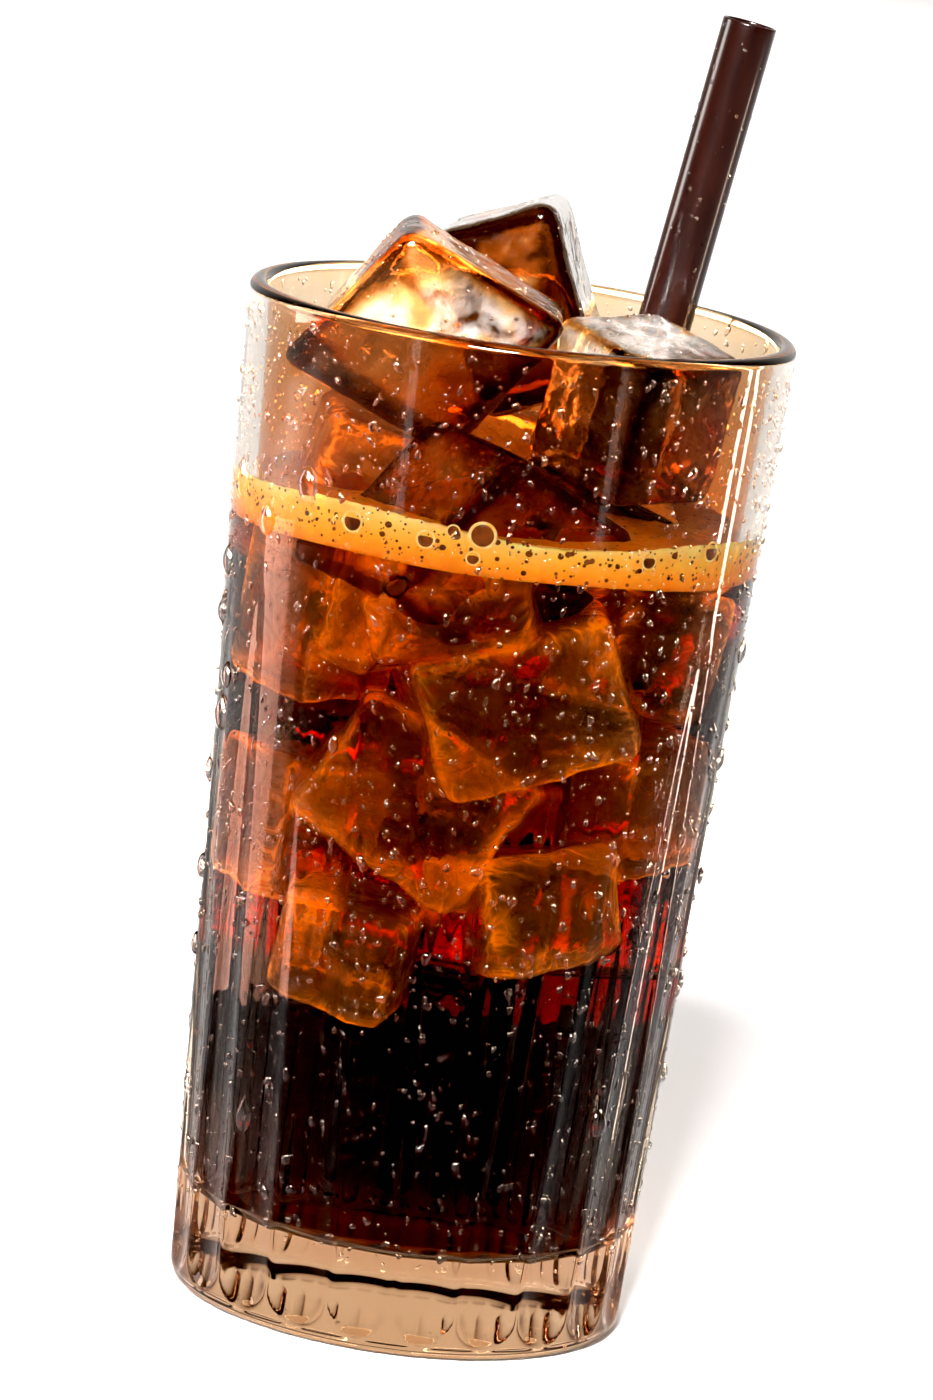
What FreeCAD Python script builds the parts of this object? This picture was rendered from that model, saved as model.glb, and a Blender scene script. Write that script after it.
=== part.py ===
"""Iced coffee in a fluted highball glass with a straw, as a parametric FreeCAD document.

Frame: millimetres, +Z up, origin at the centre of the glass's foot, -Y is the front.
"""
import FreeCAD, Part
import math
import os

import Sketcher

os.makedirs("parts", exist_ok=True)
doc = FreeCAD.newDocument("IcedCoffee")

# ---------------------------------------------------------------- driving dimensions
SIZES = {
    # glass
    "rim_diameter": 80.0,
    "foot_diameter": 67.2,
    "glass_height": 149.0,
    "wall": 3.0,
    "floor_thickness": 14.0,
    "floor_diameter": 60.6,
    "floor_fillet": 4.0,
    "foot_edge": 2.0,
    # flutes pressed into the outside of the glass
    "flute_count": 22,
    "flute_depth": 0.7,
    "flute_radius": 12.2,
    "flute_start": 1.9,
    "flute_fade": 106.0,
    # drink
    "drink_level": 116.0,
    "foam_thickness": 5.6,
    "foam_wave": 1.1,
    # straw
    "straw_diameter": 8.0,
    "straw_wall": 0.45,
    "straw_length": 179.0,
    "straw_foot_x": 2.0,
    "straw_foot_y": 22.0,
    "straw_foot_lift": 0.9,
    "straw_side": 50.0,
    "straw_rim_gap": 0.3,
}

# Each block of ice: its size, how far its top leans sideways, its centre (the height is
# measured from the drink's level) and its turn about Z, then Y, then X.
ICE = {
    "ice_left": dict(width=26.5, depth=22.0, height=25.0, lean=4.5,
                     x=-13.1, y=-4.6, above=28.3, yaw=0.4, pitch=24.9, roll=0.0),
    "ice_back": dict(width=18.0, depth=17.0, height=28.0, lean=0.6,
                     x=0.0, y=17.3, above=31.2, yaw=-8.1, pitch=-23.5, roll=1.2),
    "ice_right": dict(width=21.0, depth=20.0, height=22.8, lean=0.7,
                      x=18.0, y=-0.3, above=20.5, yaw=-47.3, pitch=10.2, roll=2.1),
    "ice_front": dict(width=20.0, depth=23.0, height=23.0, lean=8.0,
                      x=-3.3, y=-18.5, above=0.7, yaw=-51.8, pitch=4.2, roll=-27.9),
    "ice_low": dict(width=23.0, depth=20.0, height=22.0, lean=0.6,
                    x=12.5, y=7.0, above=-3.8, yaw=-6.8, pitch=17.7, roll=-2.6),
}
ICE_ROUNDING = 2.0

# The foam's uneven top: ripples across the glass, a rise towards the wall and a dip to match,
# each as a share of foam_wave, over places given as shares of the rim's radius.
RIPPLE_HEIGHT, RIPPLE_X, RIPPLE_Y = 0.9, 4.1, 3.3
RIPPLE_SHIFT_X, RIPPLE_SHIFT_Y = 0.6, -0.5
WALL_RISE, MIDDLE_DIP = 0.8, 0.4
FOAM_GRID = 12

sheet = doc.addObject("Spreadsheet::Sheet", "Sizes")


def add_size(row, alias, value):
    """Write one driving dimension into the sheet as a plain number with an alias."""
    sheet.set(f"A{row}", alias)
    sheet.set(f"B{row}", repr(value))
    sheet.setAlias(f"B{row}", alias)


rows = list(SIZES.items())
rows += [(f"{ice}_{key}", value) for ice, keys in ICE.items() for key, value in keys.items()]
rows.append(("ice_rounding", ICE_ROUNDING))
for row, (alias, value) in enumerate(rows, start=1):
    add_size(row, alias, value)
doc.recompute()


def size(alias):
    """A driving dimension's value, for the shapes that Part makes directly."""
    return float(sheet.get(alias))


def cells(text):
    """Turn {alias} in an expression into the sheet's cell."""
    names = {alias: f"Sizes.{alias}" for alias, _ in rows}
    return text.format(**names)


# ---------------------------------------------------------------- sketch helpers
def new_body(name):
    body = doc.addObject("PartDesign::Body", name)
    body.Label = name
    return body


def new_sketch(body, name, plane="XZ_Plane"):
    """A sketch on one of the body's own origin planes."""
    sketch = body.newObject("Sketcher::SketchObject", name)
    origin_plane = next(f for f in body.Origin.OriginFeatures if f.Role == plane)
    sketch.AttachmentSupport = [(origin_plane, "")]
    sketch.MapMode = "FlatFace"
    return sketch


def line(sketch, start, end, construction=False):
    ends = [FreeCAD.Vector(*start, 0), FreeCAD.Vector(*end, 0)]
    return sketch.addGeometry(Part.LineSegment(*ends), construction)


def arc(sketch, centre, radius, start_deg, end_deg):
    circle = Part.Circle(FreeCAD.Vector(*centre, 0), FreeCAD.Vector(0, 0, 1), radius)
    ends = (math.radians(start_deg), math.radians(end_deg))
    return sketch.addGeometry(Part.ArcOfCircle(circle, *ends), False)


def drive(sketch, kind, references, value, expression):
    """Add one dimension whose value comes from the sheet."""
    index = sketch.addConstraint(Sketcher.Constraint(kind, *references, value))
    sketch.setExpression(f"Constraints[{index}]", cells(expression))


START, END, CENTRE = 1, 2, 3
ORIGIN = (-1, 1)


# ---------------------------------------------------------------- glass
def wall_sizes():
    """The sizes that the glass and its inside share, as starting places for their sketches."""
    rim = size("rim_diameter") / 2
    return dict(rim=rim, bead=size("wall") / 2, top=size("glass_height"),
                floor=size("floor_thickness"), floor_r=size("floor_diameter") / 2,
                fillet=size("floor_fillet"))


def constrain_floor(sketch, fillet_arc, floor_line):
    """Fillet radius, its reach and the floor's height, shared by the glass and its inside."""
    g = wall_sizes()
    drive(sketch, "Radius", (fillet_arc,), g["fillet"], "{floor_fillet}")
    drive(sketch, "DistanceX", (*ORIGIN, fillet_arc, CENTRE), g["floor_r"] - g["fillet"],
          "{floor_diameter} / 2 - {floor_fillet}")
    drive(sketch, "DistanceY", (*ORIGIN, floor_line, END), g["floor"], "{floor_thickness}")


def constrain_bead(sketch, bead):
    """The full round at the rim, as wide as the wall."""
    g = wall_sizes()
    drive(sketch, "Radius", (bead,), g["bead"], "{wall} / 2")
    drive(sketch, "DistanceX", (*ORIGIN, bead, CENTRE), g["rim"] - g["bead"],
          "{rim_diameter} / 2 - {wall} / 2")
    drive(sketch, "DistanceY", (*ORIGIN, bead, CENTRE), g["top"] - g["bead"],
          "{glass_height} - {wall} / 2")


def build_glass():
    """Thick-bottomed tumbler: a turned wall with a round rim, fluted on the outside."""
    body = new_body("glass")
    g = wall_sizes()
    foot_r, edge = size("foot_diameter") / 2, size("foot_edge")
    rim_y = g["top"] - g["bead"]

    wall = new_sketch(body, "glass_section")
    foot = line(wall, (0, 0), (foot_r - edge, 0))
    foot_arc = arc(wall, (foot_r - edge, edge), edge, -90, 0)
    outside = line(wall, (foot_r, edge), (g["rim"], rim_y))
    bead = arc(wall, (g["rim"] - g["bead"], rim_y), g["bead"], 0, 180)
    inside = line(wall, (g["rim"] - 2 * g["bead"], rim_y), (g["floor_r"], g["floor"] + g["fillet"]))
    fillet_centre = (g["floor_r"] - g["fillet"], g["floor"] + g["fillet"])
    fillet = arc(wall, fillet_centre, g["fillet"], -90, 0)
    floor = line(wall, (g["floor_r"] - g["fillet"], g["floor"]), (0, g["floor"]))
    axis = line(wall, (0, g["floor"]), (0, 0))
    wall.addConstraint([
        Sketcher.Constraint("Coincident", foot, START, *ORIGIN),
        Sketcher.Constraint("Horizontal", foot),
        Sketcher.Constraint("Horizontal", floor),
        Sketcher.Constraint("Vertical", axis),
        Sketcher.Constraint("Coincident", floor, END, axis, START),
        Sketcher.Constraint("Coincident", axis, END, foot, START),
        Sketcher.Constraint("Tangent", foot, END, foot_arc, START),
        Sketcher.Constraint("Tangent", foot_arc, END, outside, START),
        Sketcher.Constraint("Tangent", outside, END, bead, START),
        Sketcher.Constraint("Tangent", bead, END, inside, START),
        Sketcher.Constraint("Tangent", inside, END, fillet, END),
        Sketcher.Constraint("Tangent", fillet, START, floor, START),
    ])
    drive(wall, "Radius", (foot_arc,), edge, "{foot_edge}")
    drive(wall, "DistanceX", (*ORIGIN, foot_arc, CENTRE), foot_r - edge,
          "{foot_diameter} / 2 - {foot_edge}")
    constrain_bead(wall, bead)
    constrain_floor(wall, fillet, floor)

    turned = body.newObject("PartDesign::Revolution", "glass_turned")
    turned.Profile = wall
    turned.ReferenceAxis = (wall, ["V_Axis"])
    turned.Angle = 360
    doc.recompute()
    plain_volume = body.Shape.Volume

    add_flutes(body)
    if not body.Shape.Volume < plain_volume:
        raise RuntimeError("the flutes cut nothing")
    return body


def add_flutes(body):
    """Shallow concave channels with round lower ends, each turned about its own axis.

    The axis stands outside the glass. At the foot it is near enough for the channel to be
    flute_depth deep, and at flute_fade it is so far out that the channel runs out to nothing.
    """
    depth, radius = size("flute_depth"), size("flute_radius")
    foot_r, rim_r = size("foot_diameter") / 2, size("rim_diameter") / 2
    start, fade = size("flute_start"), size("flute_fade")
    slope = (rim_r - foot_r) / size("glass_height")

    def outside_at(height):
        return foot_r + slope * height

    low_y = start + math.sqrt(depth * (2 * radius - depth))
    low = (outside_at(start) + radius - depth, low_y)
    high = (outside_at(fade) + radius, fade)
    lean = math.degrees(math.atan2(high[0] - low[0], high[1] - low[1]))

    channel = new_sketch(body, "flute_section")
    axis = line(channel, low, high, construction=True)
    end_arc = arc(channel, low, radius, 180 - lean, 270 - lean)
    side = line(channel, (low[0] - radius, low[1]), (high[0] - radius, high[1]))
    top = line(channel, (high[0] - radius, high[1]), high)
    back = line(channel, high, (low[0], low[1] - radius))
    channel.addConstraint([
        Sketcher.Constraint("Coincident", end_arc, CENTRE, axis, START),
        Sketcher.Constraint("Tangent", end_arc, START, side, START),
        Sketcher.Constraint("Coincident", side, END, top, START),
        Sketcher.Constraint("Coincident", top, END, axis, END),
        Sketcher.Constraint("Coincident", top, END, back, START),
        Sketcher.Constraint("Coincident", back, END, end_arc, END),
        Sketcher.Constraint("PointOnObject", end_arc, END, axis),
        Sketcher.Constraint("Perpendicular", top, axis),
    ])
    outside = "({{foot_diameter}} / 2 + ({{rim_diameter}} - {{foot_diameter}}) / 2 * {0} / {{glass_height}})"
    drive(channel, "Radius", (end_arc,), radius, "{flute_radius}")
    drive(channel, "DistanceX", (*ORIGIN, axis, START), low[0],
          outside.format("{flute_start}") + " + {flute_radius} - {flute_depth}")
    drive(channel, "DistanceY", (*ORIGIN, axis, START), low[1],
          "{flute_start} + sqrt({flute_depth} * (2 * {flute_radius} - {flute_depth}))")
    drive(channel, "DistanceX", (*ORIGIN, axis, END), high[0],
          outside.format("{flute_fade}") + " + {flute_radius}")
    drive(channel, "DistanceY", (*ORIGIN, axis, END), high[1], "{flute_fade}")

    groove = body.newObject("PartDesign::Groove", "flute")
    groove.Profile = channel
    groove.ReferenceAxis = (channel, ["Axis0"])
    groove.Angle = 360
    doc.recompute()

    ring = body.newObject("PartDesign::PolarPattern", "flutes")
    ring.Originals = [groove]
    z_axis = next(f for f in body.Origin.OriginFeatures if f.Role == "Z_Axis")
    ring.Axis = (z_axis, [""])
    ring.Angle = 360
    ring.setExpression("Occurrences", cells("{flute_count}"))
    body.Tip = ring
    doc.recompute()


def build_inside():
    """The space inside the glass, up past its rim, which the drink is taken from."""
    body = new_body("inside")
    g = wall_sizes()
    above = g["top"] + g["bead"]
    profile = new_sketch(body, "inside_section")
    bead = profile.addGeometry(
        Part.Circle(FreeCAD.Vector(g["rim"] - g["bead"], g["top"] - g["bead"], 0),
                    FreeCAD.Vector(0, 0, 1), g["bead"]), True)
    wall = line(profile, (g["rim"] - 2 * g["bead"], above), (g["floor_r"], g["floor"] + g["fillet"]))
    fillet_centre = (g["floor_r"] - g["fillet"], g["floor"] + g["fillet"])
    fillet = arc(profile, fillet_centre, g["fillet"], -90, 0)
    floor = line(profile, (g["floor_r"] - g["fillet"], g["floor"]), (0, g["floor"]))
    axis = line(profile, (0, g["floor"]), (0, above))
    lid = line(profile, (0, above), (g["rim"] - 2 * g["bead"], above))
    profile.addConstraint([
        Sketcher.Constraint("PointOnObject", axis, START, -2),
        Sketcher.Constraint("Vertical", axis),
        Sketcher.Constraint("Horizontal", floor),
        Sketcher.Constraint("Horizontal", lid),
        Sketcher.Constraint("Coincident", floor, END, axis, START),
        Sketcher.Constraint("Coincident", axis, END, lid, START),
        Sketcher.Constraint("Coincident", lid, END, wall, START),
        Sketcher.Constraint("Tangent", wall, END, fillet, END),
        Sketcher.Constraint("Tangent", fillet, START, floor, START),
        Sketcher.Constraint("Tangent", wall, bead),
    ])
    constrain_bead(profile, bead)
    constrain_floor(profile, fillet, floor)
    drive(profile, "DistanceY", (*ORIGIN, lid, START), above, "{glass_height} + {wall} / 2")
    turned = body.newObject("PartDesign::Revolution", "inside_turned")
    turned.Profile = profile
    turned.ReferenceAxis = (profile, ["V_Axis"])
    turned.Angle = 360
    doc.recompute()
    return body


# ---------------------------------------------------------------- ice
def build_ice(name):
    """One block of ice: a leaning slab of rectangle, padded to its depth and rounded all over."""
    body = new_body(name)
    width, depth, height, lean = (size(f"{name}_{k}") for k in ("width", "depth", "height", "lean"))

    face = new_sketch(body, f"{name}_face")
    corners = [((-width - lean) / 2, -height / 2), ((width - lean) / 2, -height / 2),
               ((width + lean) / 2, height / 2), ((-width + lean) / 2, height / 2)]
    sides = [line(face, corners[i], corners[(i + 1) % 4]) for i in range(4)]
    bottom, right, top, left = sides
    face.addConstraint([Sketcher.Constraint("Coincident", sides[i], END, sides[(i + 1) % 4], START)
                        for i in range(4)])
    face.addConstraint([
        Sketcher.Constraint("Horizontal", bottom),
        Sketcher.Constraint("Horizontal", top),
        Sketcher.Constraint("Symmetric", bottom, START, top, START, *ORIGIN),
    ])
    drive(face, "DistanceX", (bottom, START, bottom, END), width, f"{{{name}_width}}")
    drive(face, "DistanceX", (top, END, top, START), width, f"{{{name}_width}}")
    drive(face, "DistanceY", (right, START, right, END), height, f"{{{name}_height}}")
    drive(face, "DistanceX", (left, END, left, START), lean, f"{{{name}_lean}}")

    block = body.newObject("PartDesign::Pad", f"{name}_block")
    block.Profile = face
    block.SideType = "Symmetric"
    block.setExpression("Length", cells(f"{{{name}_depth}}"))
    doc.recompute()

    soft = body.newObject("PartDesign::Fillet", f"{name}_soft")
    soft.Base = (block, [f"Edge{i + 1}" for i in range(len(block.Shape.Edges))])
    soft.setExpression("Radius", cells("{ice_rounding}"))
    body.Tip = soft

    x, y, above, yaw, pitch, roll = (f"{{{name}_{k}}}" for k in
                                     ("x", "y", "above", "yaw", "pitch", "roll"))
    body.setExpression("Placement", cells(
        f"create(<<placement>>; create(<<vector>>; {x}; {y}; {{drink_level}} + {above});"
        f" create(<<rotation>>; {yaw}; {pitch}; {roll}))"))
    doc.recompute()
    return body


# ---------------------------------------------------------------- straw
def build_straw():
    """A plain tube that stands on the glass's floor and leans on the inside of its rim."""
    outer = doc.addObject("Part::Cylinder", "straw_outer")
    outer.setExpression("Radius", cells("{straw_diameter} / 2"))
    outer.setExpression("Height", cells("{straw_length}"))
    bore = doc.addObject("Part::Cylinder", "straw_bore")
    bore.setExpression("Radius", cells("{straw_diameter} / 2 - {straw_wall}"))
    bore.setExpression("Height", cells("{straw_length}"))
    tube = doc.addObject("Part::Cut", "straw")
    tube.Label = "straw"
    tube.Base = outer
    tube.Tool = bore

    # from the straw's foot on the floor to where it passes the rim
    reach = "({rim_diameter} / 2 - {wall} - {straw_diameter} / 2 - {straw_rim_gap})"
    run_x = f"({reach} * cos({{straw_side}} * 1deg) - {{straw_foot_x}})"
    run_y = f"({reach} * sin({{straw_side}} * 1deg) - {{straw_foot_y}})"
    foot_z = "({floor_thickness} + {straw_foot_lift})"
    run_z = f"({{glass_height}} - {{wall}} / 2 - {foot_z})"
    lean = f"atan2(sqrt({run_x} ^ 2 + {run_y} ^ 2); {run_z})"
    foot = f"create(<<vector>>; {{straw_foot_x}}; {{straw_foot_y}}; {foot_z})"
    turn = f"create(<<rotation>>; create(<<vector>>; -{run_y}; {run_x}; 0); {lean})"
    place = cells(f"create(<<placement>>; {foot}; {turn})")
    outer.setExpression("Placement", place)
    bore.setExpression("Placement", place)
    doc.recompute()
    return tube, outer


# ---------------------------------------------------------------- drink and foam
def foam_surface(height):
    """The foam's uneven top as one smooth surface over the whole glass."""
    reach = size("rim_diameter") / 2
    wave = size("foam_wave")

    def top_at(x, y):
        u, v = x / reach, y / reach
        edge = (u * u + v * v) ** 2
        ripple = math.sin(RIPPLE_X * u + RIPPLE_SHIFT_X) * math.cos(RIPPLE_Y * v + RIPPLE_SHIFT_Y)
        return height + wave * (RIPPLE_HEIGHT * ripple + WALL_RISE * edge - MIDDLE_DIP)

    span = [reach * (2 * i / FOAM_GRID - 1) for i in range(FOAM_GRID + 1)]
    points = [[FreeCAD.Vector(x, y, top_at(x, y)) for y in span] for x in span]
    surface = Part.BSplineSurface()
    surface.interpolate(points)
    return surface.toShape()


def build_foam_block():
    """The slice of space between the drink's level and the foam's uneven top."""
    level = size("drink_level")
    top = foam_surface(level + size("foam_thickness"))
    slab = top.extrude(FreeCAD.Vector(0, 0, -level))
    reach = size("rim_diameter")
    above_level = Part.makeBox(2 * reach, 2 * reach, reach, FreeCAD.Vector(-reach, -reach, level))
    block = doc.addObject("Part::Feature", "foam_block")
    block.Shape = slab.common(above_level)
    return block


def build_drink_block():
    """Everything below the drink's level."""
    block = doc.addObject("Part::Cylinder", "drink_block")
    block.setExpression("Radius", cells("{rim_diameter} / 2"))
    block.setExpression("Height", cells("{drink_level}"))
    return block


def fill(name, inside, block, tools):
    """The part of the glass's inside that lies in the block, cut round what stands in it."""
    poured = doc.addObject("Part::Common", f"{name}_poured")
    poured.Base = inside
    poured.Tool = block
    around = doc.addObject("Part::Compound", f"{name}_around")
    around.Links = tools
    filled = doc.addObject("Part::Cut", name)
    filled.Label = name
    filled.Base = poured
    filled.Tool = around
    doc.recompute()
    return filled


# ---------------------------------------------------------------- the whole drink
glass = build_glass()
inside = build_inside()
ice_blocks = [build_ice(name) for name in ICE]
straw, straw_envelope = build_straw()
coffee = fill("coffee", inside, build_drink_block(), [straw] + ice_blocks)
foam = fill("foam", inside, build_foam_block(), [straw_envelope] + ice_blocks)
doc.recompute()

NODES = [glass, coffee, foam, straw] + ice_blocks

for item in doc.Objects:
    faults = [state for state in item.State if state in ("Invalid", "Error")]
    if faults:
        raise RuntimeError(f"{item.Label}: {faults}")
for node in NODES:
    shape = node.Shape
    if shape.isNull() or not shape.isValid() or len(shape.Solids) != 1:
        raise RuntimeError(f"{node.Label}: not one valid solid ({len(shape.Solids)} solids)")
for node in NODES:
    node.Shape.exportStep(f"parts/{node.Label}.step")
    print(f"{node.Label}: {node.Shape.Volume:.0f} mm3")
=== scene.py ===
"""Iced coffee in a fluted highball glass: the looks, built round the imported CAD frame.

Metres, +Z up, -Y is the front. Sizes are named below or read from the frame's nodes.
"""
import math

import bmesh
import bpy
import numpy as np
from mathutils import Euler, Matrix, Vector, noise


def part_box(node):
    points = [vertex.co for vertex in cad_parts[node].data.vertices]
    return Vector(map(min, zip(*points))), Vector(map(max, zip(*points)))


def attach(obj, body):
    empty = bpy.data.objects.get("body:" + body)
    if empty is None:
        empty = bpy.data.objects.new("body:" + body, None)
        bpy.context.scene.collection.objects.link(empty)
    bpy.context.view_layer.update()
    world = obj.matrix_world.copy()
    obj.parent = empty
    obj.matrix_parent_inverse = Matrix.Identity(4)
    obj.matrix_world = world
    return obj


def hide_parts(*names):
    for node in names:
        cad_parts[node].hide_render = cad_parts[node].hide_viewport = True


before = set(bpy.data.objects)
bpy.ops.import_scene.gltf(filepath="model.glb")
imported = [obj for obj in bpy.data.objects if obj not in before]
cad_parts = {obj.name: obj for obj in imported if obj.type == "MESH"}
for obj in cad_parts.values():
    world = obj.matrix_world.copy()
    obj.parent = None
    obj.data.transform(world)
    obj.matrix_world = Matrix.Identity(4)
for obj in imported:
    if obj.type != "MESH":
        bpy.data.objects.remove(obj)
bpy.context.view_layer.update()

MM = 0.001
scene = bpy.context.scene
rng = np.random.default_rng(7)

# ---------------------------------------------------------------- sizes read from the frame
RIM_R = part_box("glass")[1].x
RIM_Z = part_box("glass")[1].z
FLOOR_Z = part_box("coffee")[0].z
LEVEL_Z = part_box("foam")[0].z


def vertex_values(mesh, key):
    """Every vertex's place ("co") or normal ("normal"), as an array of rows."""
    values = np.zeros(len(mesh.vertices) * 3)
    mesh.vertices.foreach_get(key, values)
    return values.reshape(-1, 3)


def node_points(node):
    """All vertices of a CAD node, as an array."""
    return vertex_values(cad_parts[node].data, "co")


def widest_near(node, z, reach=0.4 * MM):
    """The largest radius of a node's vertices close to one height."""
    points = node_points(node)
    near = points[abs(points[:, 2] - z) < reach]
    return float(np.hypot(near[:, 0], near[:, 1]).max())


# ---------------------------------------------------------------- sizes of the glass
WALL = 3.0 * MM
FOOT_R = 33.6 * MM
FOOT_EDGE = 2.0 * MM  # rounding round the foot
FLOOR_R = 30.3 * MM  # inside radius just above the fillet
FLOOR_FILLET = 4.0 * MM
SLOPE = (RIM_R - FOOT_R) / RIM_Z
FLUTES = 22
FLUTE_COLUMNS = 20  # columns of the mesh across each flute
FLUTE_DEPTH = 1.05 * MM
FLUTE_R = 12.2 * MM  # radius of a flute's hollow
FLUTE_START = 1.9 * MM
FLUTE_FADE = 106.0 * MM  # where the flutes run out
RIB_SOFTNESS = 0.22 * MM  # rounding of the ribs between flutes
INTO_WALL = 0.15 * MM  # how far the drink reaches into the wall, so that no gap shows
FILM_CLIMB = 34.0 * MM  # how far the coffee left on the inside climbs above the drink

INNER_TOP_R = widest_near("coffee", LEVEL_Z)
INNER_SLOPE = (INNER_TOP_R - FLOOR_R) / (LEVEL_Z - FLOOR_Z - FLOOR_FILLET)


def inner_radius(z):
    """Radius of the glass's inside wall above its fillet."""
    return FLOOR_R + INNER_SLOPE * (z - FLOOR_Z - FLOOR_FILLET)


def outer_radius(angle, z):
    """Radius of the fluted outside at an angle and height, for arrays of both."""
    plain = FOOT_R + SLOPE * z
    low_z = FLUTE_START + math.sqrt(FLUTE_DEPTH * (2 * FLUTE_R - FLUTE_DEPTH))
    low_x = FOOT_R + SLOPE * FLUTE_START + FLUTE_R - FLUTE_DEPTH
    high_x = FOOT_R + SLOPE * FLUTE_FADE + FLUTE_R
    share = np.clip((z - low_z) / (FLUTE_FADE - low_z), 0, 1)
    axis = low_x + (high_x - low_x) * share
    past = np.clip(low_z - z, 0, FLUTE_R) + np.clip(z - FLUTE_FADE, 0, FLUTE_R)
    reach = np.sqrt(FLUTE_R ** 2 - past ** 2)
    pitch = 2 * math.pi / FLUTES
    turn = (angle / pitch + 0.5) % 1.0 - 0.5
    side = axis * np.sin(turn * pitch)
    channel = axis * np.cos(turn * pitch) - np.sqrt(np.clip(reach ** 2 - side ** 2, 0, None))
    channel = np.where(abs(side) < reach, channel, plain + 1.0)
    mix = np.clip(0.5 + 0.5 * (channel - plain) / RIB_SOFTNESS, 0, 1)
    return channel * (1 - mix) + plain * mix - RIB_SOFTNESS * mix * (1 - mix)


# ---------------------------------------------------------------- mesh helpers
def smooth(mesh):
    """Shade every face of a mesh smooth."""
    mesh.polygons.foreach_set("use_smooth", [True] * len(mesh.polygons))


def add_object(name, points, faces):
    """A smooth mesh object from arrays of points and faces."""
    mesh = bpy.data.meshes.new(name)
    mesh.from_pydata(np.asarray(points).tolist(), [], [list(f) for f in faces])
    smooth(mesh)
    mesh.update()
    obj = bpy.data.objects.new(name, mesh)
    scene.collection.objects.link(obj)
    return obj


def ring_faces(rings, columns, first=0):
    """Quads between rings of points that close on themselves."""
    faces = []
    for i in range(rings - 1):
        low, high = first + i * columns, first + (i + 1) * columns
        for j in range(columns):
            k = (j + 1) % columns
            faces.append((low + j, low + k, high + k, high + j))
    return faces


def closed_rings(rings):
    """Points and faces of a closed skin through rings, with a point at each end's middle."""
    rings = np.asarray(rings)
    count, columns = rings.shape[:2]
    points = rings.reshape(-1, 3)
    faces = ring_faces(count, columns)
    start, end = points[:columns].mean(0), points[-columns:].mean(0)
    points = np.vstack([points, start, end])
    a, b = count * columns, count * columns + 1
    last = (count - 1) * columns
    for j in range(columns):
        k = (j + 1) % columns
        faces.append((a, k, j))
        faces.append((b, last + j, last + k))
    return points, faces


def circle(radius, z, columns):
    """A level ring of points about the glass's axis; radius and z may differ round it."""
    angle = np.arange(columns) * 2 * math.pi / columns
    radius = np.broadcast_to(radius, angle.shape)
    z = np.broadcast_to(z, angle.shape)
    return np.stack([radius * np.cos(angle), radius * np.sin(angle), z], 1)


def settle(obj):
    """Replace an object's mesh by what its modifiers make of it."""
    bpy.context.view_layer.update()
    evaluated = obj.evaluated_get(bpy.context.evaluated_depsgraph_get())
    mesh = bpy.data.meshes.new_from_object(evaluated)
    obj.modifiers.clear()
    obj.data = mesh
    return obj


def cut(obj, cutters):
    """Take the cutters' shapes out of an object."""
    for cutter in cutters:
        step = obj.modifiers.new("cut", "BOOLEAN")
        step.operation = "DIFFERENCE"
        step.solver = "MANIFOLD"
        step.object = cutter
    settle(obj)


def paint(obj, name, values):
    """Store one number per vertex for the materials to read."""
    attribute = obj.data.attributes.new(name, "FLOAT", "POINT")
    attribute.data.foreach_set("value", np.asarray(values, np.float32))


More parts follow.
